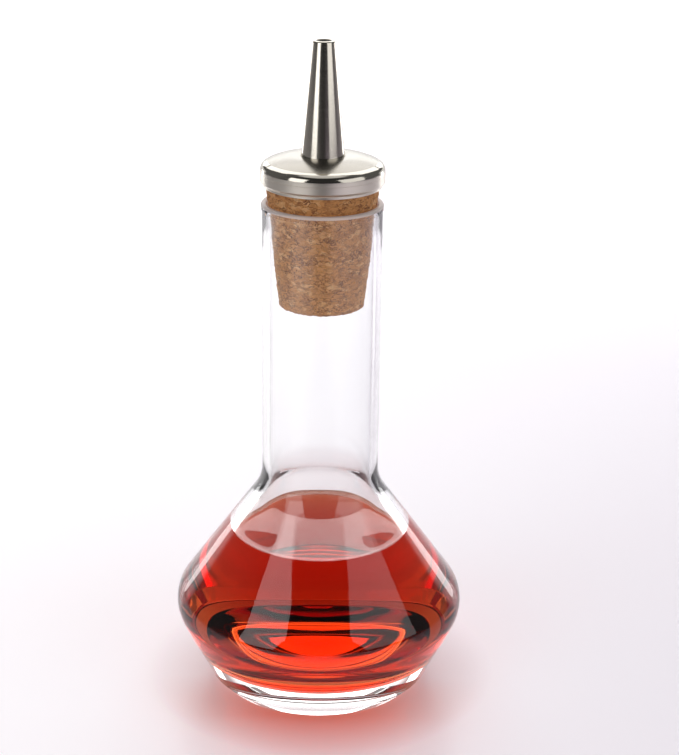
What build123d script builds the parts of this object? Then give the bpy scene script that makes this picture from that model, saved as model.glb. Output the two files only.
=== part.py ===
from build123d import *
import os
from math import atan2, cos, radians, sin, tan

# A small dash bottle: a double-cone glass body with a straight neck, a tapered
# cork stopper, and on the cork a pressed steel cap that carries a tapered spout.
# Millimetres, +Z up. The origin is the centre of the circle that the bottle stands on.
# The corner sizes of the body are those of its sharp outline, before the roundings.

# Glass, outside
BELLY_CORNER_RADIUS = 32.6
FOOT_INSET = 8.0
STAND_INSET = 1.9
NECK_RADIUS = 12.55
RIM_BEAD = 0.17
RIM_HEIGHT = 1.4
FOOT_HEIGHT = 2.0
LOWER_CONE_HEIGHT = 16.4
UPPER_CONE_HEIGHT = 27.8
NECK_LENGTH = 61.5
HEEL_ROUNDING = 0.8
BELLY_ROUNDING = 7.0
SHOULDER_ROUNDING = 6.0

# Glass, walls and underside
BODY_WALL = 2.4
NECK_WALL = 1.8
MOUTH_WALL = 1.19
HOLLOW_SHOULDER_ROUNDING = 14.0
BASE_THICKNESS = 7.0
FLOOR_DISH_DEPTH = 0.5
FLOOR_ROUNDING = 6.0
STAND_RING_WIDTH = 2.4
PUSH_UP_DEPTH = 1.4
LIP_ROUNDING_SHARE = 0.45

# Liquid, its level above the belly's corner
FILL_RISE = 15.5

# Cork
CORK_DEPTH = 21.9
CORK_STAND = 3.55
CORK_TAPER_ANGLE = 6.4
CORK_EDGE = 0.5
SEAT_CLEARANCE = 0.06

# Cap
CAP_WALL = 0.5
CAP_CLEARANCE = 0.05
SKIRT_HEIGHT = 4.1
SKIRT_LIP_HEIGHT = 1.1
SKIRT_TURN_IN = 0.15
CAP_EDGE_ROUNDING = 1.2
DOME_RISE = 1.85

# Spout
SPOUT_LENGTH = 23.7
SPOUT_FOOT_RADIUS = 4.55
SPOUT_TIP_RADIUS = 2.31
TIP_WALL = 0.95
WELD_RING_WIDTH = 0.25
SOCKET_DEPTH = 4.0

# Stem
STEM_RADIUS = 2.6
STEM_WALL = 0.4
METER_HOLE_RADIUS = 0.7
METER_PLATE = 0.6
STEM_CLEARANCE = 0.02

# One overrun for every cut that has to pass a face
OVERRUN = 1.0

# Heights up the axis
belly_height = FOOT_HEIGHT + LOWER_CONE_HEIGHT
shoulder_height = belly_height + UPPER_CONE_HEIGHT
mouth_height = shoulder_height + NECK_LENGTH
fill_height = belly_height + FILL_RISE
cork_bottom_height = mouth_height - CORK_DEPTH
skirt_bottom_height = mouth_height + CORK_STAND
cap_edge_height = skirt_bottom_height + SKIRT_HEIGHT
spout_seat_height = cap_edge_height + DOME_RISE
spout_tip_height = spout_seat_height + SPOUT_LENGTH
stem_top_height = spout_seat_height + SOCKET_DEPTH
cork_top_height = cap_edge_height - CAP_WALL - CAP_CLEARANCE

# Radii that follow from the neck: bore, mouth, cork and cap fit one another
taper = tan(radians(CORK_TAPER_ANGLE))
rim_radius = NECK_RADIUS + RIM_BEAD
bore_radius = NECK_RADIUS - NECK_WALL
mouth_radius = NECK_RADIUS - MOUTH_WALL
seat_bottom_height = mouth_height - (mouth_radius - bore_radius) / taper
cork_bottom_radius = mouth_radius - SEAT_CLEARANCE - CORK_DEPTH * taper
cork_top_radius = mouth_radius - SEAT_CLEARANCE + CORK_STAND * taper
skirt_lip_radius = cork_top_radius + CAP_CLEARANCE + CAP_WALL
cap_radius = skirt_lip_radius + SKIRT_TURN_IN
weld_ring_radius = SPOUT_FOOT_RADIUS + WELD_RING_WIDTH
stem_bore_radius = STEM_RADIUS - STEM_WALL
stem_hole_radius = STEM_RADIUS + STEM_CLEARANCE

# Corners of the glass body's outline, as radius and height
foot_point = (BELLY_CORNER_RADIUS - FOOT_INSET, FOOT_HEIGHT)
stand_point = (foot_point[0] - STAND_INSET, 0)
belly_point = (BELLY_CORNER_RADIUS, belly_height)
shoulder_point = (NECK_RADIUS, shoulder_height)


def inset_line(lower, upper, wall):
    """The line through two outline points, moved inwards by the wall: a point and a slope."""
    slope = atan2(upper[1] - lower[1], upper[0] - lower[0])
    return (lower[0] - wall * sin(slope), lower[1] + wall * cos(slope)), slope


def radius_on(line, height):
    """Radius of a line at a height."""
    start, slope = line
    return start[0] + (height - start[1]) * cos(slope) / sin(slope)


def height_on(line, radius):
    """Height of a line at a radius."""
    start, slope = line
    return start[1] + (radius - start[0]) * sin(slope) / cos(slope)


def crossing(lower_line, upper_line):
    """Point at which two lines cross, as radius and height."""
    closing_rate = cos(lower_line[1]) / sin(lower_line[1]) - cos(upper_line[1]) / sin(upper_line[1])
    height = (radius_on(upper_line, 0) - radius_on(lower_line, 0)) / closing_rate
    return radius_on(lower_line, height), height


def nearest_corner(section, point):
    """The corner of a section that lies nearest to a point."""
    return section.vertices().sort_by_distance((*point, 0))[0]


def hollow_section():
    """Half of the hollow's section: a dished floor, the two cones, the bore and the cork's seat."""
    lower_wall = inset_line(foot_point, belly_point, BODY_WALL)
    upper_wall = inset_line(belly_point, shoulder_point, BODY_WALL)
    floor_edge_height = BASE_THICKNESS + FLOOR_DISH_DEPTH
    floor_edge = (radius_on(lower_wall, floor_edge_height), floor_edge_height)
    corners = [
        floor_edge,
        crossing(lower_wall, upper_wall),
        (bore_radius, height_on(upper_wall, bore_radius)),
        (bore_radius, seat_bottom_height),
        (mouth_radius, mouth_height),
        (0, mouth_height),
    ]
    roundings = [BELLY_ROUNDING - BODY_WALL, HOLLOW_SHOULDER_ROUNDING, 0, 0]
    with BuildSketch() as section:
        with BuildLine():
            dish = TangentArc((0, BASE_THICKNESS), floor_edge, tangent=(1, 0))
            walls = FilletPolyline(*corners, radius=roundings)
            Line(walls @ 1, dish @ 0)
        make_face()
        fillet(nearest_corner(section, floor_edge), FLOOR_ROUNDING)
    return section.sketch


def turned(points):
    """A solid of revolution from a closed outline with its first and last points on the axis."""
    with BuildPart() as piece:
        with BuildSketch(Plane.XZ):
            with BuildLine():
                Polyline(*points, close=True)
            make_face()
        revolve(axis=Axis.Z)
    return piece.part


def round_bar(radius, bottom, top):
    """A cylinder on the axis between two heights."""
    return Pos(0, 0, bottom) * Cylinder(
        radius,
        top - bottom,
        align=(Align.CENTER, Align.CENTER, Align.MIN),
    )


def make_bottle():
    """The glass: a section with dimpled underside, double cone, neck and rim, less the hollow."""
    dimple_edge = (stand_point[0] - STAND_RING_WIDTH, 0)
    lip_rounding = LIP_ROUNDING_SHARE * (rim_radius - mouth_radius)
    corners = [
        dimple_edge,
        stand_point,
        foot_point,
        belly_point,
        shoulder_point,
        (NECK_RADIUS, mouth_height - RIM_HEIGHT),
        (rim_radius, mouth_height - RIM_HEIGHT + RIM_BEAD),
        (rim_radius, mouth_height),
        (0, mouth_height),
    ]
    roundings = [HEEL_ROUNDING, HEEL_ROUNDING, BELLY_ROUNDING, SHOULDER_ROUNDING, 0, 0, lip_rounding]
    with BuildPart() as bottle:
        with BuildSketch(Plane.XZ) as section:
            with BuildLine():
                dimple = TangentArc((0, PUSH_UP_DEPTH), dimple_edge, tangent=(1, 0))
                wall = FilletPolyline(*corners, radius=roundings)
                Line(wall @ 1, dimple @ 0)
            make_face()
            add(hollow_section(), mode=Mode.SUBTRACT)
            fillet(nearest_corner(section, (mouth_radius, mouth_height)), lip_rounding)
        revolve(axis=Axis.Z)
    return bottle.part


def make_fill():
    """The bitters, wetting the hollow up to a flat surface."""
    hollow = revolve(Plane.XZ * hollow_section(), axis=Axis.Z)
    return split(hollow, bisect_by=Plane.XY.offset(fill_height), keep=Keep.BOTTOM)


def make_cork():
    """The cork: a cone below the cap, a short cylinder in it, and the stem's bore."""
    cork = turned(
        [
            (0, cork_bottom_height),
            (cork_bottom_radius - CORK_EDGE, cork_bottom_height),
            (cork_bottom_radius + CORK_EDGE * taper, cork_bottom_height + CORK_EDGE),
            (cork_top_radius, skirt_bottom_height),
            (cork_top_radius, cork_top_height - CORK_EDGE),
            (cork_top_radius - CORK_EDGE, cork_top_height),
            (0, cork_top_height),
        ]
    )
    return cork - round_bar(stem_hole_radius, cork_bottom_height - OVERRUN, cork_top_height + OVERRUN)


def make_cap():
    """The pressed cap: flat seat, domed top, rounded edge and a skirt with a turned-in lip."""
    skirt_top_height = skirt_bottom_height + SKIRT_LIP_HEIGHT
    with BuildPart() as cap:
        with BuildSketch(Plane.XZ) as section:
            with BuildLine():
                flats = Polyline(
                    (0, skirt_bottom_height),
                    (0, spout_seat_height),
                    (weld_ring_radius, spout_seat_height),
                )
                dome = TangentArc(flats @ 1, (cap_radius, cap_edge_height), tangent=(1, 0))
                Polyline(
                    dome @ 1,
                    (cap_radius, skirt_top_height),
                    (skirt_lip_radius, skirt_top_height - SKIRT_TURN_IN),
                    (skirt_lip_radius, skirt_bottom_height),
                    (0, skirt_bottom_height),
                )
            make_face()
            edge_corner = section.vertices().group_by(Axis.X)[-1].sort_by(Axis.Y)[-1]
            fillet(edge_corner, CAP_EDGE_ROUNDING)
        revolve(axis=Axis.Z)
        offset(amount=-CAP_WALL, openings=cap.faces().sort_by(Axis.Z)[0])
    return cap.part - round_bar(stem_hole_radius, skirt_bottom_height, spout_seat_height + OVERRUN)


def make_spout():
    """The spout: a taper with a weld ring at its foot, a half-round lip, a stem socket and a bore."""
    lip_radius = TIP_WALL / 2
    lip_height = spout_tip_height - lip_radius
    tip_hole_radius = SPOUT_TIP_RADIUS - TIP_WALL
    with BuildPart() as spout:
        with BuildSketch(Plane.XZ):
            with BuildLine():
                taper_side = Polyline(
                    (tip_hole_radius, lip_height),
                    (stem_bore_radius, stem_top_height),
                    (stem_hole_radius, stem_top_height),
                    (stem_hole_radius, spout_seat_height),
                    (weld_ring_radius, spout_seat_height),
                    (SPOUT_FOOT_RADIUS, spout_seat_height + WELD_RING_WIDTH),
                    (SPOUT_TIP_RADIUS, lip_height),
                )
                ThreePointArc(
                    taper_side @ 1,
                    (SPOUT_TIP_RADIUS - lip_radius, spout_tip_height),
                    taper_side @ 0,
                )
            make_face()
        revolve(axis=Axis.Z)
    return spout.part


def make_stem():
    """The stem: a thin tube through cork and cap, its lower end closed but for a metering hole."""
    tube = round_bar(STEM_RADIUS, cork_bottom_height, stem_top_height)
    bore = round_bar(stem_bore_radius, cork_bottom_height + METER_PLATE, stem_top_height + OVERRUN)
    meter_hole = round_bar(METER_HOLE_RADIUS, cork_bottom_height - OVERRUN, stem_top_height)
    return tube - bore - meter_hole


os.makedirs("parts", exist_ok=True)
export_step(make_bottle(), "parts/glass_bottle.step")
export_step(make_fill(), "parts/bitters_fill.step")
export_step(make_cork(), "parts/cork_stopper.step")
export_step(make_cap(), "parts/dome_cap.step")
export_step(make_spout(), "parts/pour_spout.step")
export_step(make_stem(), "parts/stem_tube.step")
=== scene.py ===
from math import ceil, cos, exp, pi, radians, sin, tan

import bmesh
import bpy
from bpy.props import FloatProperty, FloatVectorProperty, IntProperty, PointerProperty
from bpy.types import Operator, Panel, PropertyGroup
from mathutils import Matrix, Vector


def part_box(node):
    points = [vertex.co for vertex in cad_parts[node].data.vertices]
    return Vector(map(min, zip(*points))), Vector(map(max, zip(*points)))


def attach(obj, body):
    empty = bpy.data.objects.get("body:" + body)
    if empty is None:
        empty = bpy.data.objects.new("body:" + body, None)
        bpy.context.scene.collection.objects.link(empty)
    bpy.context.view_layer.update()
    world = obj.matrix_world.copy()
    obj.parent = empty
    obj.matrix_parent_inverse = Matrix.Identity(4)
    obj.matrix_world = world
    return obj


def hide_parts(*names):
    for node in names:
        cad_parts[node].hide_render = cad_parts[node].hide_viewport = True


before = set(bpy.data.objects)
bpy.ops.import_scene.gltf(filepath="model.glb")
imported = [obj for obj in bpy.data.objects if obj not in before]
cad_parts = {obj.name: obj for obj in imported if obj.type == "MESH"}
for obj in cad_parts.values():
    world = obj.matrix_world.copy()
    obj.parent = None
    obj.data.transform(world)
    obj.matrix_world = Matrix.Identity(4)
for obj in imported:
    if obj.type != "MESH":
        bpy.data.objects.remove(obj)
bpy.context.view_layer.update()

bl_info = {
    "name": "Dash Bottle",
    "version": (1, 0, 0),
    "blender": (4, 5, 0),
    "location": "3D View > Sidebar > Dash Bottle",
    "description": "A double-cone dash bottle with bitters, a cork stopper and a steel pouring spout",
    "category": "Add Mesh",
}

MM = 0.001
FULL_TURN = 2 * pi
WELD_DISTANCE = 0.001 * MM
FLAT_LIMIT = 1e-5 * MM
SEED_SIZE = 1 * MM
SENSOR_WIDTH = 36

# Fineness of outlines and facets

SMOOTH_ANGLE = radians(28)
ARC_STEP = radians(5)
ARC_STEPS = 24
DISH_STEPS = 32
LIP_STEPS = 12
CLIMB_STEPS = 16
CORK_TURN_STEPS = 240
STEM_TURN_STEPS = 64
OUTLINE_RUN = 1.2 * MM
CORK_RUN = 0.3 * MM
CAP_RUN = 0.6 * MM
SPOUT_RUN = 0.8 * MM
STEM_RUN = 1.0 * MM


def node_top(node):
    """Highest point of a node, from the frame."""
    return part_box(node)[1].z


def node_bottom(node):
    """Lowest point of a node, from the frame."""
    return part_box(node)[0].z


def length(name, description, default):
    """A length that the user can change."""
    return FloatProperty(
        name=name,
        description=description,
        default=default,
        precision=5,
        subtype="DISTANCE",
        unit="LENGTH",
    )


def number(name, description, default, highest=100.0):
    """A plain number that the user can change."""
    return FloatProperty(name=name, description=description, default=default, min=0, max=highest)


def colour(name, description, default):
    """A colour that the user can change."""
    return FloatVectorProperty(
        name=name,
        description=description,
        default=default,
        size=3,
        min=0,
        max=1,
        subtype="COLOR",
    )


class GlassSettings(PropertyGroup):
    """Sizes of the glass, as the radius and height of its sharp corners, and its finish."""

    belly_radius: length("Belly radius", "Radius of the belly's sharp corner", 32.6 * MM)
    belly_height: length("Belly height", "Height of the belly's sharp corner", 18.4 * MM)
    foot_radius: length("Foot radius", "Radius at the foot of the lower cone", 24.6 * MM)
    foot_height: length("Foot height", "Height of the foot of the lower cone", 2.0 * MM)
    stand_radius: length("Stand radius", "Radius of the heel at the floor", 22.7 * MM)
    neck_radius: length("Neck radius", "Outer radius of the neck", 12.55 * MM)
    shoulder_height: length("Shoulder height", "Height at which the cone meets the neck", 46.2 * MM)
    mouth_height: length("Mouth height", "Top of the glass", node_top("glass_bottle"))
    rim_bead: length("Rim bead", "How far the rim stands out from the neck", 0.17 * MM)
    rim_height: length("Rim height", "Height of the rim's bead", 1.4 * MM)
    heel_rounding: length("Heel rounding", "Rounding of the heel and the foot", 0.8 * MM)
    belly_rounding: length("Belly rounding", "Rounding of the belly", 7.0 * MM)
    shoulder_rounding: length("Shoulder rounding", "Rounding where the neck starts", 10.0 * MM)
    body_wall: length("Body wall", "Wall of the two cones", 2.4 * MM)
    neck_wall: length("Neck wall", "Wall of the neck", 1.8 * MM)
    mouth_wall: length("Mouth wall", "Wall of the mouth, which the cork's seat thins", 1.19 * MM)
    hollow_shoulder: length("Hollow's shoulder", "Rounding of the hollow where the neck starts", 12 * MM)
    seat_rounding: length("Seat rounding", "Rounding where the cork's seat starts", 80 * MM)
    base_thickness: length("Base thickness", "Height of the floor's middle", node_bottom("bitters_fill"))
    floor_dish: length("Floor dish", "How far the hollow's floor sinks to its middle", 0.5 * MM)
    floor_rounding: length("Floor rounding", "Rounding of the hollow's floor", 6.0 * MM)
    stand_ring: length("Stand ring", "Width of the ring that the bottle stands on", 2.4 * MM)
    push_up: length("Push-up", "Depth of the dimple under the base", 1.4 * MM)
    lip_share: number("Lip share", "Rounding of the lip as a share of its wall", 0.45)
    tint: colour("Tint", "Colour that the glass lets through", (0.985, 0.992, 0.992))
    glass_index: number("Glass index", "Refractive index of the glass", 1.5)
    # The rim's painted glow: a share of pale diffuse colour that stands in for the light the glass guides
    # to its rim.
    rim_painted_glow: number("Rim haze", "Share of the rim's look that is guided light", 0.65)
    rim_colour: colour("Rim colour", "Colour of the light guided to the rim", (1.0, 0.88, 0.85))


class BittersSettings(PropertyGroup):
    """Level, edge and colour of the bitters."""

    level: length("Level", "Height of the bitters' flat surface", node_top("bitters_fill"))
    overlap: length("Overlap", "How far the bitters' sides lie inside the glass", 0.02 * MM)
    climb: length("Climb", "How far the surface climbs the glass at its edge", 0.5 * MM)
    climb_width: length("Climb width", "How far in from the glass the surface curves", 0.8 * MM)
    bitters_index: number("Bitters index", "Refractive index of the bitters", 1.36)
    bitters_colour: colour("Colour", "Colour that the bitters let through", (0.955, 0.53, 0.20))
    density: number("Density", "How fast the bitters take up light, per metre", 200.0, highest=1000)


class CorkSettings(PropertyGroup):
    """Sizes and colours of the cork."""

    bottom_radius: length("Bottom radius", "Radius of the cork's lower end", 8.85 * MM)
    edge: length("Edge", "Chamfer of the cork's ends", 0.5 * MM)
    pit_depth: length("Pit depth", "Depth of the pits between the granules", 0.14 * MM)
    granule: length("Granule", "Size of the cork's granules", 1.3 * MM)
    body_colour: colour("Body colour", "Colour of most granules", (0.56, 0.25, 0.08))
    light_colour: colour("Light colour", "Colour of the palest granules", (0.74, 0.42, 0.19))
    deep_colour: colour("Deep colour", "Colour of the darkest granules", (0.40, 0.165, 0.05))
    dark_colour: colour("Dark colour", "Colour of the bark in the seams", (0.16, 0.05, 0.015))


class SteelSettings(PropertyGroup):
    """Sizes and finish of the cap, the spout and the stem."""

    cap_wall: length("Cap wall", "Thickness of the pressed cap", 0.5 * MM)
    skirt_height: length("Skirt height", "Height of the cap's skirt", 4.1 * MM)
    skirt_lip: length("Skirt lip", "Height of the skirt's turned-in lip", 1.1 * MM)
    skirt_turn_in: length("Skirt turn-in", "How far the lip turns in", 0.15 * MM)
    skirt_line: length("Skirt line", "Depth of the line pressed round the skirt", 0.06 * MM)
    cap_edge: length("Cap edge", "Rounding of the cap's edge", 1.2 * MM)
    spout_foot: length("Spout foot", "Radius of the spout's foot", 4.55 * MM)
    spout_tip: length("Spout tip", "Radius of the spout's tip", 2.31 * MM)
    tip_wall: length("Tip wall", "Wall of the spout at its tip", 0.95 * MM)
    weld_ring: length("Weld ring", "Width of the ring at the spout's foot", 0.25 * MM)
    stem_radius: length("Stem radius", "Radius of the stem", 2.6 * MM)
    stem_wall: length("Stem wall", "Wall of the stem", 0.4 * MM)
    meter_hole: length("Metering hole", "Radius of the hole at the stem's lower end", 0.7 * MM)
    meter_plate: length("Metering plate", "Thickness of the stem's lower end", 0.6 * MM)
    stem_clearance: length("Stem clearance", "Gap round the stem", 0.02 * MM)
    steel_colour: colour("Steel colour", "Colour of the stainless steel", (0.62, 0.58, 0.51))


class StageSettings(PropertyGroup):
    """Floor, light and camera."""

    floor_half: length("Floor half width", "Half the width of the floor", 3.0)
    floor_colour: colour("Floor colour", "Colour of the floor", (0.76, 0.74, 0.77))
    floor_glow: colour("Floor glow", "Light that the left of the floor adds to the eye", (0.34, 0.32, 0.33))
    floor_shade: colour("Floor shade", "Light that the right of the floor adds", (0.1, 0.07, 0.11))
    # Sizes of the painted shade, the painted shadow and the painted red glow on the floor close to the
    # bottle.
    near_width: length("Near width", "Width of the darker floor close to the bottle", 60 * MM)
    shadow_place: length("Shadow place", "How far behind the axis the shadow lies", 30 * MM)
    shadow_radius: length("Shadow radius", "Radius of the shadow behind the bottle", 34 * MM)
    red_glow: colour("Red glow", "Light that the floor adds close to the bitters", (0.20, 0.02, 0.0))
    left_light: number("Left light", "Brightness of the left softbox, 1 is white", 2.2)
    right_light: number("Right light", "Brightness of the right softbox, 1 is white", 1.3)
    back_light: number("Back light", "Brightness of the softbox behind, 1 is white", 2.5)
    top_light: number("Top light", "Brightness of the softbox overhead, 1 is white", 2.1)
    strip_light: number("Strip lights", "Brightness of the two strips behind, 1 is white", 3.3)
    even_light: number("Even light", "Brightness of the light from all round, 1 is white", 0.15)
    camera_place: FloatVectorProperty(
        name="Camera place",
        description="Where the camera stands",
        default=(3.975 * MM, -351.678 * MM, 199.013 * MM),
        precision=5,
        subtype="TRANSLATION",
        unit="LENGTH",
    )
    camera_tilt: FloatProperty(
        name="Camera tilt",
        description="How far the camera looks down",
        default=radians(20.26),
        subtype="ANGLE",
        unit="ROTATION",
    )
    camera_roll: FloatProperty(
        name="Camera roll",
        description="How far the camera leans",
        default=radians(0.75),
        subtype="ANGLE",
        unit="ROTATION",
    )
    camera_lens: number("Camera lens", "Focal length in millimetres, on a 36 mm frame", 83.71)


class DashBottleSettings(PropertyGroup):
    """All the settings of the dash bottle."""

    glass: PointerProperty(type=GlassSettings)
    bitters: PointerProperty(type=BittersSettings)
    cork: PointerProperty(type=CorkSettings)
    steel: PointerProperty(type=SteelSettings)
    stage: PointerProperty(type=StageSettings)
    turn_steps: IntProperty(
        name="Turn steps",
        description="Facets round a turned piece",
        default=160,
        min=24,
    )


# Outlines, as radius and height


def rounded(corners, roundings):
    """An outline through corners, each inner one replaced by an arc that touches both its sides."""
    corners = [Vector(corner) for corner in corners]
    points = [corners[0]]
    for before, corner, after, rounding in zip(corners, corners[1:], corners[2:], roundings):
        incoming = (corner - before).normalized()
        outgoing = (after - corner).normalized()
        turn = incoming.angle(outgoing)
        if rounding == 0:
            points.append(corner)
            continue
        start = corner - incoming * rounding * tan(turn / 2)
        side = (outgoing - incoming * cos(turn)).normalized()
        steps = ceil(turn / ARC_STEP)
        for step in range(steps + 1):
            angle = turn * step / steps
            points.append(start + rounding * (incoming * sin(angle) + side * (1 - cos(angle))))
    return points + [corners[-1]]


def arc_from(start, end, tangent, steps):
    """Points of the arc that leaves start along tangent and ends at end, without its first point."""
    start, end, tangent = Vector(start), Vector(end), Vector(tangent).normalized()
    chord = end - start
    half_turn = tangent.angle(chord)
    side = (chord - tangent * chord.dot(tangent)).normalized()
    radius = chord.length / (2 * sin(half_turn))
    points = []
    for step in range(1, steps + 1):
        angle = 2 * half_turn * step / steps
        points.append(start + radius * (tangent * sin(angle) + side * (1 - cos(angle))))
    return points


def divided(points, longest):
    """The same outline with its long runs divided, so that shading stays smooth along them."""
    finer = [points[0]]
    for here, there in zip(points, points[1:]):
        parts = max(1, ceil((there - here).length / longest))
        for part in range(1, parts + 1):
            finer.append(here.lerp(there, part / parts))
    return finer


def radius_at(lower, upper, height):
    """Radius at a height of the line through two points."""
    share = (height - lower[1]) / (upper[1] - lower[1])
    return lower[0] + share * (upper[0] - lower[0])


def moved_in(lower, upper, wall):
    """Two points of an outer line, moved into the glass by the wall."""
    run = Vector(upper) - Vector(lower)
    inwards = Vector((-run.y, run.x)).normalized() * wall
    return Vector(lower) + inwards, Vector(upper) + inwards


def crossing(first, second):
    """Where two lines, each of two points, cross."""
    (x1, y1), (x2, y2) = first
    (x3, y3), (x4, y4) = second
    slope = (x1 - x2) * (y3 - y4) - (y1 - y2) * (x3 - x4)
    first_turn = x1 * y2 - y1 * x2
    second_turn = x3 * y4 - y3 * x4
    return Vector((
        (first_turn * (x3 - x4) - (x1 - x2) * second_turn) / slope,
        (first_turn * (y3 - y4) - (y1 - y2) * second_turn) / slope,
    ))


def glass_corners(glass):
    """Corners of the outside from the heel up to the lip."""
    rim_radius = glass.neck_radius + glass.rim_bead
    return [
        Vector((glass.stand_radius - glass.stand_ring, 0)),
        Vector((glass.stand_radius, 0)),
        Vector((glass.foot_radius, glass.foot_height)),
        Vector((glass.belly_radius, glass.belly_height)),
        Vector((glass.neck_radius, glass.shoulder_height)),
        Vector((glass.neck_radius, glass.mouth_height - glass.rim_height)),
        Vector((rim_radius, glass.mouth_height - glass.rim_height + glass.rim_bead)),
        Vector((rim_radius, glass.mouth_height)),
    ]


def cork_taper():
    """How much the cork, and the seat that it fits, widens over its height below the cap."""
    cork = bpy.context.scene.dash_bottle.cork
    widening = cork_top_radius() - cork.bottom_radius
    return widening / (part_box("dome_cap")[0].z - node_bottom("cork_stopper"))


def cork_top_radius():
    """Radius of the cork inside the cap."""
    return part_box("cork_stopper")[1].x


def hollow_outline(glass):
    """The hollow's outline from the middle of its dished floor up to the mouth."""
    outside = glass_corners(glass)
    foot, belly, shoulder = outside[2], outside[3], outside[4]
    lower_wall = moved_in(foot, belly, glass.body_wall)
    upper_wall = moved_in(belly, shoulder, glass.body_wall)
    floor_edge_height = glass.base_thickness + glass.floor_dish
    floor_edge = Vector((radius_at(*lower_wall, floor_edge_height), floor_edge_height))
    dish_start = Vector((0, glass.base_thickness))
    dish = [dish_start] + arc_from(dish_start, floor_edge, (1, 0), DISH_STEPS)
    dish = [point for point in dish if point.x < floor_edge.x - glass.floor_rounding]
    bore = glass.neck_radius - glass.neck_wall
    mouth = glass.neck_radius - glass.mouth_wall
    seat_bottom = glass.mouth_height - (mouth - bore) / cork_taper()
    bore_line = (Vector((bore, 0)), Vector((bore, glass.mouth_height)))
    corners = [
        crossing(dish[-2:], lower_wall),
        crossing(lower_wall, upper_wall),
        crossing(upper_wall, bore_line),
        Vector((bore, seat_bottom)),
        Vector((mouth, glass.mouth_height)),
    ]
    roundings = [0] * (len(dish) - 1)
    roundings += [glass.floor_rounding, glass.belly_rounding - glass.body_wall]
    roundings += [glass.hollow_shoulder, glass.seat_rounding]
    return rounded(dish + corners, roundings)


def cut_at_height(points, height):
    """Splits a rising outline at a height, where one part ends and the other starts."""
    for index in range(1, len(points)):
        here, there = points[index - 1], points[index]
        if here.y < height <= there.y:
            cut = here.lerp(there, (height - here.y) / (there.y - here.y))
            return points[:index] + [cut], [cut] + points[index:]
    raise ValueError("the outline doesn't reach that height")


def grown(outline, distance):
    """An outline moved out by a distance, square to its runs, with its first point kept on the axis."""
    moved = []
    for index, point in enumerate(outline):
        before = outline[max(index - 1, 0)]
        after = outline[min(index + 1, len(outline) - 1)]
        run = (after - before).normalized()
        moved.append(point + Vector((run.y, -run.x)) * distance)
    moved[0].x = 0
    return moved


def offset_in(outline, wall):
    """The inner side of a wall, square to the outer side's runs, flat at its two ends."""
    moved = grown(list(outline), -wall)
    moved[0] = Vector((outline[0].x, outline[0].y - wall))
    moved[-1] = Vector((outline[-1].x - wall, outline[-1].y))
    return moved


# Modelling steps


def start_piece(name, place):
    """A new small square in edit mode, with everything else deselected."""
    bpy.ops.object.select_all(action="DESELECT")
    bpy.ops.mesh.primitive_plane_add(size=SEED_SIZE, location=place)
    piece = bpy.context.object
    piece.name = name
    piece.data.name = name
    bpy.ops.object.transform_apply(location=True, rotation=True, scale=True)
    bpy.ops.object.mode_set(mode="EDIT")
    bpy.ops.mesh.select_mode(type="VERT")
    bpy.ops.mesh.select_all(action="SELECT")
    return piece


def turned(name, outline, steps=None):
    """A piece of revolution: its outline is drawn point by point from one vertex, then spun."""
    steps = steps or bpy.context.scene.dash_bottle.turn_steps
    start = outline[0]
    piece = start_piece(name, (start.x, 0, start.y))
    bpy.ops.mesh.merge(type="CENTER")
    for here, there in zip(outline, outline[1:]):
        step = there - here
        bpy.ops.mesh.extrude_vertices_move(TRANSFORM_OT_translate={"value": (step.x, 0, step.y)})
    bpy.ops.mesh.select_all(action="SELECT")
    bpy.ops.mesh.spin(steps=steps, angle=FULL_TURN, center=(0, 0, 0), axis=(0, 0, 1))
    bpy.ops.mesh.select_all(action="SELECT")
    bpy.ops.mesh.remove_doubles(threshold=WELD_DISTANCE)
    bpy.ops.mesh.normals_make_consistent(inside=False)
    bpy.ops.object.mode_set(mode="OBJECT")
    bpy.ops.object.shade_smooth_by_angle(angle=SMOOTH_ANGLE)
    return piece


def select_faces(piece, wanted):
    """Selects the faces in edit mode whose middle and normal pass the test."""
    bpy.ops.mesh.select_mode(type="FACE")
    bpy.ops.mesh.select_all(action="DESELECT")
    mesh = bmesh.from_edit_mesh(piece.data)
    for face in mesh.faces:
        face.select_set(wanted(face.calc_center_median(), face.normal))
    bmesh.update_edit_mesh(piece.data)


def paint_faces(piece, slot_index, wanted):
    """Gives the faces that pass the test the material in one of the piece's slots."""
    bpy.ops.object.mode_set(mode="EDIT")
    select_faces(piece, wanted)
    piece.active_material_index = slot_index
    bpy.ops.object.material_slot_assign()
    bpy.ops.object.mode_set(mode="OBJECT")


def set_on_body(piece, node, body):
    """Puts a piece on its body, in place of a node."""
    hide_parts(node)
    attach(piece, body)


# Materials


class Wire:
    """What a shader node gives out. Arithmetic on it adds the Math node that does it."""

    def __init__(self, shader, socket):
        self.shader = shader
        self.socket = socket

    def math(self, operation, *values):
        """Adds a Math node."""
        return self.shader.node("ShaderNodeMath", {"operation": operation}, *values)

    def __add__(self, other):
        return self.math("ADD", self, other)

    __radd__ = __add__

    def __mul__(self, other):
        return self.math("MULTIPLY", self, other)

    __rmul__ = __mul__

    def __sub__(self, other):
        return self.math("SUBTRACT", self, other)

    def __rsub__(self, other):
        return self.math("SUBTRACT", other, self)

    def __truediv__(self, other):
        return self.math("DIVIDE", self, other)

    def __pow__(self, other):
        return self.math("POWER", self, other)


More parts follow.
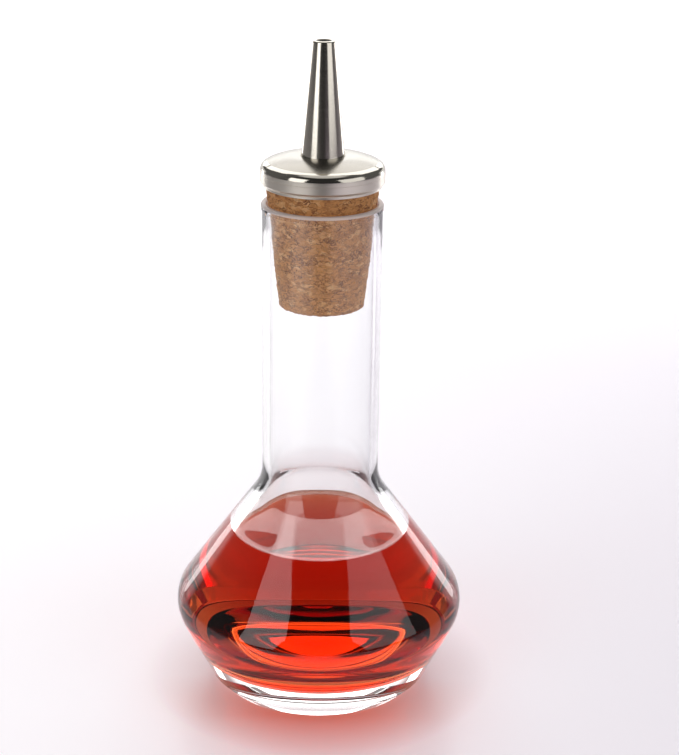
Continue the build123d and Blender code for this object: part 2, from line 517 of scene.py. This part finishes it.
class Shader:
    """The node tree of a material or a world."""

    def __init__(self, owner):
        owner.use_nodes = True
        self.tree = owner.node_tree
        self.tree.nodes.clear()

    def node(self, kind, settings=None, *values, give=0, **named):
        """Adds a node: its settings first, then its sockets by place or by name."""
        node = self.tree.nodes.new(kind)
        for setting, value in (settings or {}).items():
            if setting == "stops":
                self.set_stops(node.color_ramp, value)
            else:
                setattr(node, setting, value)
        for index, value in enumerate(values):
            self.feed(node.inputs[index], value)
        for name, value in named.items():
            self.feed(node.inputs[name.replace("_", " ")], value)
        return Wire(self, node.outputs[give])

    def feed(self, socket, value):
        """Links a wire to a socket, or sets the socket's own value."""
        if isinstance(value, Wire):
            self.tree.links.new(value.socket, socket)
            return
        if socket.type == "RGBA" and len(value) == 3:
            value = (*value, 1)
        socket.default_value = value

    def set_stops(self, ramp, stops):
        """Sets a ramp's stops, as pairs of place and grey or colour."""
        while len(ramp.elements) < len(stops):
            ramp.elements.new(1)
        for element, (place, shade) in zip(ramp.elements, stops):
            element.position = place
            element.color = (shade, shade, shade, 1) if isinstance(shade, float) else (*shade, 1)

    def coordinates(self, scale=(1, 1, 1)):
        """The piece's own coordinates, scaled."""
        own = self.node("ShaderNodeTexCoord", give="Object")
        return self.node("ShaderNodeMapping", {}, Vector=own, Scale=scale)

    def noise(self, where, size, detail, roughness=0.5, give=0):
        """Noise whose features are about as large as the size."""
        return self.node(
            "ShaderNodeTexNoise",
            {},
            give=give,
            Vector=where,
            Scale=1 / size,
            Detail=detail,
            Roughness=roughness,
        )

    def ramp(self, value, *stops):
        """A value sent through a ramp."""
        return self.node("ShaderNodeValToRGB", {"stops": stops}, value)

    def mix(self, share, first, second, blend="MIX"):
        """Two colours mixed by a share. The node takes colours at 6 and 7 and gives one at 2."""
        node = self.tree.nodes.new("ShaderNodeMix")
        node.data_type = "RGBA"
        node.blend_type = blend
        self.feed(node.inputs[0], share)
        self.feed(node.inputs[6], first)
        self.feed(node.inputs[7], second)
        return Wire(self, node.outputs[2])

    def bump(self, height, distance):
        """A normal from a height."""
        return self.node("ShaderNodeBump", {}, Height=height, Distance=distance, Strength=1.0)

    def surface(self, shader):
        """Sends a shader to the output's surface."""
        self.tree.links.new(shader.socket, self.output().inputs["Surface"])

    def volume(self, shader):
        """Sends a shader to the output's volume."""
        self.tree.links.new(shader.socket, self.output().inputs["Volume"])

    def output(self):
        """The material's output node."""
        for node in self.tree.nodes:
            if node.type == "OUTPUT_MATERIAL":
                return node
        return self.tree.nodes.new("ShaderNodeOutputMaterial")


def new_material(name):
    """A new material and its shader."""
    material = bpy.data.materials.new(name)
    return material, Shader(material)


def ray_share(shader, kind):
    """1 for rays of one kind, which is Camera, Glossy, Transmission or Shadow, and 0 for the rest."""
    return shader.node("ShaderNodeLightPath", {}, give=f"Is {kind} Ray")


def seen_share(shader):
    """1 for rays from the camera, from mirroring and through glass, and 0 for the rest."""
    seen = ray_share(shader, "Camera") + ray_share(shader, "Glossy")
    seen = seen + ray_share(shader, "Transmission")
    return shader.node("ShaderNodeMath", {"operation": "MINIMUM"}, seen, 1.0)


def clear_to_lamps(shader, solid, tint):
    """Lets lamps shine through a shader, so that what stands behind it is lit."""
    open_way = shader.node("ShaderNodeBsdfTransparent", {}, Color=tint)
    return shader.node("ShaderNodeMixShader", {}, ray_share(shader, "Shadow"), solid, open_way)


def glass_material(name, index, glass, painted_glow=0.0):
    """Clear glass: faint ripples of the mould, and in its rim a painted glow, a pale diffuse colour that
    stands in for the light the glass guides.
    """
    ripple_size, ripple_height = 9 * MM, 0.01 * MM
    lamp_tint = (0.93, 0.94, 0.94)
    material, shader = new_material(name)
    ripples = shader.noise(shader.coordinates(), ripple_size, detail=1.0)
    solid = shader.node(
        "ShaderNodeBsdfPrincipled",
        {},
        Base_Color=glass.tint,
        Roughness=0.0,
        IOR=index,
        Transmission_Weight=1.0,
        Normal=shader.bump(ripples, ripple_height),
    )
    # The rim gets a painted glow: pale diffuse colour mixed in where guided light would show.
    if painted_glow:
        glow = shader.node("ShaderNodeBsdfDiffuse", {}, Color=glass.rim_colour)
        solid = shader.node("ShaderNodeMixShader", {}, painted_glow, solid, glow)
    shader.surface(clear_to_lamps(shader, solid, lamp_tint))
    return material


def bitters_material(bitters):
    """Bitters: open sides, which the wetted glass bends light for, a liquid surface and a red body."""
    lamp_tint = (0.95, 0.95, 0.95)
    material, shader = new_material("red_bitters_liquid")
    free = shader.node("ShaderNodeAttribute", {"attribute_name": "free_surface"}, give="Fac")
    surface = shader.node(
        "ShaderNodeBsdfPrincipled",
        {},
        Base_Color=(1, 1, 1),
        Roughness=0.0,
        IOR=bitters.bitters_index,
        Transmission_Weight=1.0,
    )
    sides = shader.node("ShaderNodeBsdfTransparent", {}, Color=(1, 1, 1))
    lamp_open = clear_to_lamps(shader, surface, lamp_tint)
    shader.surface(shader.node("ShaderNodeMixShader", {}, free, sides, lamp_open))
    body = shader.node(
        "ShaderNodeVolumeAbsorption",
        {},
        Color=bitters.bitters_colour,
        Density=bitters.density,
    )
    shader.volume(body)
    return material


def cork_material(cork):
    """Pressed cork: flattened granules of several browns, squiggly dark seams and pale flecks."""
    flattening = 1.6
    warp_size, fibre_size, patch_size, fleck_size = 1.4 * MM, 1.3 * MM, 2.5 * MM, 0.45 * MM
    fibre_height = 0.15 * MM
    material, shader = new_material("agglomerated_cork")
    where = shader.coordinates(scale=(1, 1, flattening))
    warp = shader.noise(where, warp_size, detail=4.0, give="Color")
    bent = shader.node(
        "ShaderNodeVectorMath",
        {"operation": "MULTIPLY_ADD"},
        warp,
        (cork.granule,) * 3,
        where,
    )
    granules = shader.node(
        "ShaderNodeTexVoronoi",
        {"feature": "F1"},
        give="Color",
        Vector=bent,
        Scale=1 / cork.granule,
    )
    grey = shader.node("ShaderNodeSeparateColor", {}, granules)
    tone = shader.ramp(
        grey,
        (0.0, cork.deep_colour),
        (0.35, cork.body_colour),
        (0.75, cork.body_colour),
        (1.0, cork.light_colour),
    )
    fibres = shader.noise(bent, fibre_size, detail=4.0, roughness=0.55)
    seams = shader.ramp(fibres, (0.44, 0.0), (0.475, 1.0), (0.50, 1.0), (0.53, 0.0))
    patches = shader.ramp(shader.noise(where, patch_size, detail=1.0), (0.35, 0.35), (0.6, 1.0))
    flecks = shader.ramp(shader.noise(bent, fleck_size, detail=3.0), (0.58, 0.0), (0.7, 0.7))
    brown = shader.mix(flecks, tone, cork.light_colour)
    brown = shader.mix(seams * patches, brown, cork.dark_colour)
    solid = shader.node(
        "ShaderNodeBsdfPrincipled",
        {},
        Base_Color=brown,
        Roughness=0.75,
        Normal=shader.bump(fibres, fibre_height),
    )
    shader.surface(solid)
    return material


def steel_material(name, steel, roughness, brushing, shade=1.0):
    """Satin stainless steel, brushed round the axis: fine scratches and an uneven gloss.

    The roughness is the mean one, since both noises average a half. The shade scales the steel's colour, so
    one steel gets painted lighter and darker copies in place of light and shade."""
    stretch = 0.02
    scratch_size, scratch_depth, cloud_size = 0.05 * MM, 0.004 * MM, 4 * MM
    scratch_share, cloud_share = 0.1, 0.05
    smoothest = roughness - (scratch_share + cloud_share) / 2
    material, shader = new_material(name)
    rings = shader.coordinates(scale=(stretch, stretch, 1))
    scratches = shader.noise(rings, scratch_size, detail=3.0)
    cloud = shader.noise(shader.coordinates(), cloud_size, detail=2.0)
    # The shade paints the steel lighter or darker in place of light and shade.
    solid = shader.node(
        "ShaderNodeBsdfPrincipled",
        {},
        Base_Color=tuple(channel * shade for channel in steel.steel_colour),
        Metallic=1.0,
        Roughness=scratches * scratch_share + cloud * cloud_share + smoothest,
        Anisotropic=brushing,
        Normal=shader.bump(scratches, scratch_depth),
    )
    shader.surface(solid)
    return material


# Pieces


class DASHBOTTLE_OT_glass(Operator):
    """Add the glass bottle, with the wetted part of its inside as a surface of its own"""

    bl_idname = "dash_bottle.glass"
    bl_label = "Glass Bottle"

    def execute(self, context):
        settings = context.scene.dash_bottle
        glass, bitters = settings.glass, settings.bitters
        lip_rounding = glass.lip_share * (glass.mouth_wall + glass.rim_bead)
        outside = glass_corners(glass)
        inside = hollow_outline(glass)
        wet_top = bitters.level + bitters.climb
        wetted, dry = cut_at_height(inside, wet_top)
        roundings = [0, glass.heel_rounding, glass.heel_rounding, glass.belly_rounding]
        roundings += [glass.shoulder_rounding, 0, 0, lip_rounding, lip_rounding]
        mouth, seat_bottom = inside[-1], inside[-2]
        dimple_start = Vector((0, glass.push_up))
        dimple = [dimple_start] + arc_from(dimple_start, outside[0], (1, 0), ARC_STEPS)
        shell = rounded([dimple[-2]] + outside + [mouth, seat_bottom], roundings)[1:-1]
        outline = dimple[:-1] + shell + list(reversed(dry))[1:] + list(reversed(wetted))[1:]
        piece = turned("glass_bottle_clear", divided(outline, OUTLINE_RUN))
        wet_index = glass.glass_index / bitters.bitters_index
        dry_glass = glass_material("clear_glass", glass.glass_index, glass)
        wet_glass = glass_material("clear_glass_wetted", wet_index, glass)
        rim_glass = glass_material("clear_glass_rim", glass.glass_index, glass, glass.rim_painted_glow)
        for material in (dry_glass, wet_glass, rim_glass):
            piece.data.materials.append(material)

        def is_wetted(middle, normal):
            radius = middle.xy.length
            inner = normal.x * middle.x + normal.y * middle.y < 0 or radius < outside[0].x
            lower = radius_at(outside[2], outside[3], middle.z)
            upper = radius_at(outside[3], outside[4], middle.z)
            within = radius < min(lower, upper) - glass.body_wall / 2
            return inner and within and glass.base_thickness - WELD_DISTANCE < middle.z < wet_top

        # The rim's faces take the glass with the painted glow.
        def is_rim(middle, normal):
            return middle.z > glass.mouth_height - lip_rounding

        paint_faces(piece, 1, is_wetted)
        paint_faces(piece, 2, is_rim)
        set_on_body(piece, "glass_bottle", "bottle")
        return {"FINISHED"}


class DASHBOTTLE_OT_bitters(Operator):
    """Add the bitters, with a surface that climbs the glass a little at its edge"""

    bl_idname = "dash_bottle.bitters"
    bl_label = "Bitters"

    def execute(self, context):
        settings = context.scene.dash_bottle
        glass, bitters = settings.glass, settings.bitters
        wetted = cut_at_height(hollow_outline(glass), bitters.level + bitters.climb)[0]
        sides = grown(divided(wetted, OUTLINE_RUN), bitters.overlap)
        rim = sides[-1]
        widths_drawn = 5
        reach = widths_drawn * bitters.climb_width
        surface = []
        for step in range(1, CLIMB_STEPS + 1):
            away = reach * step / CLIMB_STEPS
            climb = bitters.climb * exp(-away / bitters.climb_width)
            surface.append(Vector((rim.x - away, bitters.level + climb)))
        surface.append(Vector((0, bitters.level)))
        piece = turned("bitters_liquid", divided(sides + surface, OUTLINE_RUN))
        piece.data.materials.append(bitters_material(bitters))
        free = piece.data.attributes.new("free_surface", "FLOAT", "FACE")
        for face in piece.data.polygons:
            outwards = face.normal.x * face.center.x + face.normal.y * face.center.y
            above = face.center.z > bitters.level - WELD_DISTANCE
            free.data[face.index].value = 1.0 if above and outwards <= FLAT_LIMIT else 0.0
        set_on_body(piece, "bitters_fill", "bottle")
        return {"FINISHED"}


class DASHBOTTLE_OT_cork(Operator):
    """Add the cork, with pits between its granules"""

    bl_idname = "dash_bottle.cork"
    bl_label = "Cork"

    def execute(self, context):
        settings = context.scene.dash_bottle
        cork, steel = settings.cork, settings.steel
        bottom, top = node_bottom("cork_stopper"), node_top("cork_stopper")
        waist = node_bottom("dome_cap")
        top_radius = cork_top_radius()
        taper = cork_taper()
        bore = steel.stem_radius + steel.stem_clearance
        outline = [
            Vector((bore, bottom)),
            Vector((cork.bottom_radius - cork.edge, bottom)),
            Vector((cork.bottom_radius + cork.edge * taper, bottom + cork.edge)),
            Vector((top_radius, waist)),
            Vector((top_radius, top - cork.edge)),
            Vector((top_radius - cork.edge, top)),
            Vector((bore, top)),
            Vector((bore, bottom)),
        ]
        piece = turned("cork_granulated", divided(outline, CORK_RUN), CORK_TURN_STEPS)
        self.press_pits(piece, cork)
        piece.data.materials.append(cork_material(cork))
        set_on_body(piece, "cork_stopper", "stopper")
        return {"FINISHED"}

    def press_pits(self, piece, cork):
        """Sinks scattered pits, narrower than a granule, into the cork's skin; nothing rises above it."""
        pit_share = 0.45
        pits = bpy.data.textures.new("cork_pits", "CLOUDS")
        pits.noise_scale = cork.granule * pit_share
        pits.noise_depth = 2
        pits.contrast = 3.5
        pits.intensity = 1.35
        bpy.ops.object.modifier_add(type="DISPLACE")
        sinking = piece.modifiers[-1]
        sinking.texture = pits
        sinking.texture_coords = "LOCAL"
        sinking.strength = cork.pit_depth
        sinking.mid_level = 1.0
        bpy.ops.object.modifier_apply(modifier=sinking.name)


class DASHBOTTLE_OT_cap(Operator):
    """Add the pressed steel cap"""

    bl_idname = "dash_bottle.cap"
    bl_label = "Cap"

    def execute(self, context):
        steel = context.scene.dash_bottle.steel
        bottom, top = node_bottom("dome_cap"), node_top("dome_cap")
        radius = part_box("dome_cap")[1].x
        edge = bottom + steel.skirt_height
        line = (edge + bottom + steel.skirt_lip) / 2
        lip_radius = radius - steel.skirt_turn_in
        seat_radius = steel.spout_foot + steel.weld_ring
        hole = steel.stem_radius + steel.stem_clearance
        dome_start = Vector((seat_radius, top))
        dome = arc_from(dome_start, (radius, edge), (1, 0), ARC_STEPS)
        edge_points = 4
        outside = rounded(
            [
                dome[-edge_points],
                Vector((radius, edge)),
                Vector((radius, line + steel.skirt_line)),
                Vector((radius - steel.skirt_line, line)),
                Vector((radius, line - steel.skirt_line)),
                Vector((radius, bottom + steel.skirt_lip)),
                Vector((lip_radius, bottom + steel.skirt_lip - steel.skirt_turn_in)),
                Vector((lip_radius, bottom)),
            ],
            [steel.cap_edge, 0, 0, 0, 0, 0],
        )
        outside = [Vector((hole, top)), dome_start] + dome[:-edge_points] + outside
        inside = offset_in(outside, steel.cap_wall)
        shell = outside + list(reversed(inside)) + [outside[0]]
        piece = turned("cap_brushed", divided(shell, CAP_RUN))
        # The cap's three steels differ in gloss, and their shades are painted light and shade: the top and
        # the edge are painted darker, the skirt lighter.
        top_steel = steel_material("satin_steel_cap_painted_dark", steel, roughness=0.24, brushing=0.3, shade=0.52)
        edge_steel = steel_material("polished_steel_edge_painted_dark", steel, roughness=0.1, brushing=0.0, shade=0.8)
        skirt_steel = steel_material("satin_steel_skirt_painted_light", steel, roughness=0.3, brushing=0.4, shade=1.1)
        for material in (top_steel, edge_steel, skirt_steel):
            piece.data.materials.append(material)
        least_rise = 0.05
        edge_start = radius - 0.8 * steel.cap_edge
        skirt_start = radius - 0.3 * MM
        skirt_top = edge - 0.5 * steel.cap_edge

        def is_edge(middle, normal):
            return normal.z > least_rise and middle.xy.length > edge_start

        def is_skirt(middle, normal):
            return middle.z < skirt_top and middle.xy.length > skirt_start

        # The edge and the skirt take the painted darker and lighter copies of the steel.
        paint_faces(piece, 1, is_edge)
        paint_faces(piece, 2, is_skirt)
        set_on_body(piece, "dome_cap", "stopper")
        return {"FINISHED"}


class DASHBOTTLE_OT_spout(Operator):
    """Add the tapered spout"""

    bl_idname = "dash_bottle.spout"
    bl_label = "Spout"

    def execute(self, context):
        steel = context.scene.dash_bottle.steel
        seat, tip = node_bottom("pour_spout"), node_top("pour_spout")
        lip = steel.tip_wall / 2
        stem_hole = steel.stem_radius + steel.stem_clearance
        stem_bore = steel.stem_radius - steel.stem_wall
        stem_top = node_top("stem_tube")
        half_round = [
            Vector((steel.spout_tip - lip + lip * cos(angle), tip - lip + lip * sin(angle)))
            for angle in (pi * step / LIP_STEPS for step in range(LIP_STEPS + 1))
        ]
        outline = [
            Vector((stem_hole, seat)),
            Vector((steel.spout_foot + steel.weld_ring, seat)),
            Vector((steel.spout_foot, seat + steel.weld_ring)),
            *half_round,
            Vector((stem_bore, stem_top)),
            Vector((stem_hole, stem_top)),
            Vector((stem_hole, seat)),
        ]
        piece = turned("spout_brushed", divided(outline, SPOUT_RUN))
        outer_steel = steel_material("satin_steel_spout", steel, roughness=0.15, brushing=0.0)
        # The bore's low shade paints the shade inside the hollow spout.
        bore_steel = steel_material("steel_bore_painted_dark", steel, roughness=0.5, brushing=0.0, shade=0.25)
        piece.data.materials.append(outer_steel)
        piece.data.materials.append(bore_steel)
        bore_start = steel.spout_tip - 0.8 * steel.tip_wall

        def is_bore(middle, normal):
            return middle.xy.length < bore_start and middle.z > stem_top

        paint_faces(piece, 1, is_bore)
        set_on_body(piece, "pour_spout", "stopper")
        return {"FINISHED"}


class DASHBOTTLE_OT_stem(Operator):
    """Add the stem with its metering hole"""

    bl_idname = "dash_bottle.stem"
    bl_label = "Stem"

    def execute(self, context):
        steel = context.scene.dash_bottle.steel
        bottom, top = node_bottom("stem_tube"), node_top("stem_tube")
        bore = steel.stem_radius - steel.stem_wall
        outline = [
            Vector((steel.meter_hole, bottom)),
            Vector((steel.stem_radius, bottom)),
            Vector((steel.stem_radius, top)),
            Vector((bore, top)),
            Vector((bore, bottom + steel.meter_plate)),
            Vector((steel.meter_hole, bottom + steel.meter_plate)),
            Vector((steel.meter_hole, bottom)),
        ]
        piece = turned("stem_drawn", divided(outline, STEM_RUN), STEM_TURN_STEPS)
        stem_steel = steel_material("satin_steel_stem", steel, roughness=0.25, brushing=0.3)
        piece.data.materials.append(stem_steel)
        set_on_body(piece, "stem_tube", "stopper")
        return {"FINISHED"}


def add_softbox(name, direction, distance, width, height, radiance, aim_height):
    """A rectangular lamp that faces a point of the bottle's axis, hidden from the camera itself.

    Its direction is an angle round from the camera's side and an angle up, both in degrees."""
    around, upwards = (radians(angle) for angle in direction)
    away = Vector((sin(around) * cos(upwards), -cos(around) * cos(upwards), sin(upwards)))
    lamp = bpy.data.lights.new(name, "AREA")
    lamp.shape = "RECTANGLE"
    lamp.size = width
    lamp.size_y = height
    lamp.energy = radiance * pi * width * height
    softbox = bpy.data.objects.new(name, lamp)
    bpy.context.scene.collection.objects.link(softbox)
    softbox.location = Vector((0, 0, aim_height)) + away * distance
    softbox.rotation_euler = away.to_track_quat("Z", "Y").to_euler()
    softbox.visible_camera = False


class DASHBOTTLE_OT_stage(Operator):
    """Add the floor, the light and the camera"""

    bl_idname = "dash_bottle.stage"
    bl_label = "Stage"

    def execute(self, context):
        stage = context.scene.dash_bottle.stage
        self.add_floor(stage)
        self.add_world(stage)
        body, neck = 40 * MM, 60 * MM
        add_softbox("softbox_left", (-47, 22), 0.7, 0.38, 0.50, stage.left_light, body)
        add_softbox("softbox_right", (58, 23), 0.7, 0.60, 0.50, stage.right_light, body)
        add_softbox("softbox_back", (180, 18), 3.0, 3.0, 0.78, stage.back_light, neck)
        add_softbox("softbox_top", (180, 50.5), 0.9, 1.2, 0.64, stage.top_light, body)
        add_softbox("strip_left", (-138, 3), 0.42, 0.08, 0.12, stage.strip_light, body)
        add_softbox("strip_right", (136, 3), 0.42, 0.08, 0.12, stage.strip_light, body)
        self.add_camera(stage)
        context.scene.view_settings.view_transform = "Standard"
        return {"FINISHED"}

    def add_floor(self, stage):
        """A wide pale floor that glows where it is seen, with painted shade, a painted shadow and a painted
        red glow close to the bottle.
        """
        bpy.ops.object.select_all(action="DESELECT")
        bpy.ops.mesh.primitive_plane_add(size=2 * stage.floor_half, location=(0, 0, 0))
        floor = bpy.context.object
        floor.name = "floor"
        material, shader = new_material("pale_floor")
        where = shader.node("ShaderNodeTexCoord", give="Object")
        across, along = (
            shader.node("ShaderNodeSeparateXYZ", {}, where, give=axis) for axis in "XY"
        )
        away = (across * across + along * along) ** 0.5
        # near and front place the painted red glow and the painted shade close to the bottle.
        near = shader.ramp(away / stage.near_width, (0.40, 1.0), (0.66, 0.0))
        front = shader.ramp(along / stage.near_width + 0.5, (0.12, 1.0), (0.4, 0.0))
        far = shader.ramp(along, (0.2, 0.0), (0.9, 0.42))
        glow = shader.ramp(across * 2.5 + 0.5, (0.3, stage.floor_glow), (0.9, stage.floor_shade))
        # A painted red glow in front of the bottle stands in for the light that the bitters throw.
        glow = shader.mix(near * front, glow, stage.red_glow)
        glow = shader.mix(1.0, glow, far, "ADD")
        # A painted shadow behind the bottle, and painted shade all round it.
        behind = (across * across + (along - stage.shadow_place) ** 2.0) ** 0.5
        shadow = shader.ramp(behind / stage.shadow_radius, (0.4, 0.42), (1.0, 1.0))
        shadow = shadow * (1 - near * 0.45)
        reflection_paint = self.painted_reflections(shader, across, along)
        # The floor's colour takes the painted shadow, shade and reflections; its glow takes the painted
        # reflections.
        tone = shader.mix(1.0, stage.floor_colour, shadow * reflection_paint, "MULTIPLY")
        glow = shader.mix(1.0, glow, reflection_paint, "MULTIPLY")
        solid = shader.node(
            "ShaderNodeBsdfPrincipled",
            {},
            Base_Color=tone,
            Roughness=0.3,
            Specular_IOR_Level=0.4,
        )
        shining = shader.node("ShaderNodeEmission", {}, Color=glow, Strength=seen_share(shader))
        shader.surface(shader.node("ShaderNodeAddShader", {}, solid, shining))
        floor.data.materials.append(material)

    def painted_reflections(self, shader, across, along):
        """How bright the floor is painted for all but the camera's own rays: pale, with painted shade
        beyond both sides.

        Mirrored rays also find a painted dark wedge in front and a painted bright patch at the right of it."""
        # Painted shade beyond both sides of the floor, for all rays but the camera's.
        beside = shader.ramp(
            across * 0.5 + 0.5, (0.33, 0.35), (0.37, 1.0), (0.80, 1.0), (0.85, 0.5)
        )
        before = shader.ramp(along + 0.5, (0.1, 1.0), (0.35, 0.0))
        # A painted dark wedge in front and a painted bright patch at the right, for mirrored rays only.
        wedge = shader.ramp(across * across / (along * along + 0.001), (0.03, 1.0), (0.14, 0.0))
        glossy = ray_share(shader, "Glossy")
        painted_card = shader.ramp(across, (0.1, 0.0), (0.2, 1.0)) * before * glossy
        reflection_paint = beside * (1 - before * wedge * glossy * 0.9) * (1 + painted_card * 0.5)
        camera = ray_share(shader, "Camera")
        return camera + (1 - camera) * reflection_paint

    def add_world(self, stage):
        """An even light, and in metal and glass a white backdrop in a dark room.

        Z is the sine of a direction's angle up, and Y over its level length is 1 straight behind."""
        world = bpy.data.worlds.new("studio")
        bpy.context.scene.world = world
        shader = Shader(world)
        way = shader.node("ShaderNodeTexCoord", give="Generated")
        axes = [shader.node("ShaderNodeSeparateXYZ", {}, way, give=axis) for axis in "XYZ"]
        level = (axes[0] * axes[0] + axes[1] * axes[1]) ** 0.5
        behind = shader.ramp(axes[1] / level, (0.57, 0.0), (0.65, 1.0))
        low = shader.ramp(axes[2], (0.15, 1.0), (0.19, 0.0))
        sides = shader.ramp(axes[1] / level * 0.5 + 0.5, (0.1, 0.04), (0.5, 0.15))
        overhead = shader.ramp(axes[2], (0.90, 0.0), (0.94, 0.8))
        through = ray_share(shader, "Transmission")
        room = behind * low * 0.95 + sides + overhead + through * 0.25
        camera = ray_share(shader, "Camera")
        mirrored = seen_share(shader) - camera
        even = (1 - camera - mirrored) * stage.even_light
        light = shader.node(
            "ShaderNodeBackground", {}, Color=(1, 1, 1), Strength=camera + mirrored * room + even
        )
        output = shader.tree.nodes.new("ShaderNodeOutputWorld")
        shader.tree.links.new(light.socket, output.inputs["Surface"])

    def add_camera(self, stage):
        """The camera, with its axes turned by its tilt and its roll."""
        lens = bpy.data.cameras.new("camera")
        lens.lens = stage.camera_lens
        lens.sensor_width = SENSOR_WIDTH
        lens.sensor_fit = "AUTO"
        lens.clip_start = 10 * MM
        camera = bpy.data.objects.new("camera", lens)
        bpy.context.scene.collection.objects.link(camera)
        tilt = Matrix.Rotation(pi / 2 - stage.camera_tilt, 4, "X")
        roll = Matrix.Rotation(stage.camera_roll, 4, "Z")
        camera.matrix_world = Matrix.Translation(stage.camera_place) @ tilt @ roll
        bpy.context.scene.camera = camera


class DASHBOTTLE_PT_panel(Panel):
    """The buttons and settings in the sidebar"""

    bl_idname = "DASHBOTTLE_PT_panel"
    bl_label = "Dash Bottle"
    bl_space_type = "VIEW_3D"
    bl_region_type = "UI"
    bl_category = "Dash Bottle"

    def draw(self, context):
        settings = context.scene.dash_bottle
        for operator in OPERATORS:
            self.layout.operator(operator.bl_idname)
        self.layout.prop(settings, "turn_steps")
        for group in (settings.glass, settings.bitters, settings.cork, settings.steel, settings.stage):
            box = self.layout.box()
            for name in group.__annotations__:
                box.prop(group, name)


SETTINGS = (
    GlassSettings,
    BittersSettings,
    CorkSettings,
    SteelSettings,
    StageSettings,
    DashBottleSettings,
)
OPERATORS = (
    DASHBOTTLE_OT_stage,
    DASHBOTTLE_OT_glass,
    DASHBOTTLE_OT_bitters,
    DASHBOTTLE_OT_cork,
    DASHBOTTLE_OT_cap,
    DASHBOTTLE_OT_spout,
    DASHBOTTLE_OT_stem,
)
CLASSES = (*SETTINGS, *OPERATORS, DASHBOTTLE_PT_panel)


def register():
    """Makes the settings, the operators and the panel known."""
    for entry in CLASSES:
        bpy.utils.register_class(entry)
    bpy.types.Scene.dash_bottle = PointerProperty(type=DashBottleSettings)


def unregister():
    """Takes them away again."""
    del bpy.types.Scene.dash_bottle
    for entry in reversed(CLASSES):
        bpy.utils.unregister_class(entry)


def main():
    """Builds the stage and the pieces."""
    register()
    bpy.ops.dash_bottle.stage()
    bpy.ops.dash_bottle.glass()
    bpy.ops.dash_bottle.bitters()
    bpy.ops.dash_bottle.cork()
    bpy.ops.dash_bottle.cap()
    bpy.ops.dash_bottle.spout()
    bpy.ops.dash_bottle.stem()


if __name__ == "__main__":
    main()
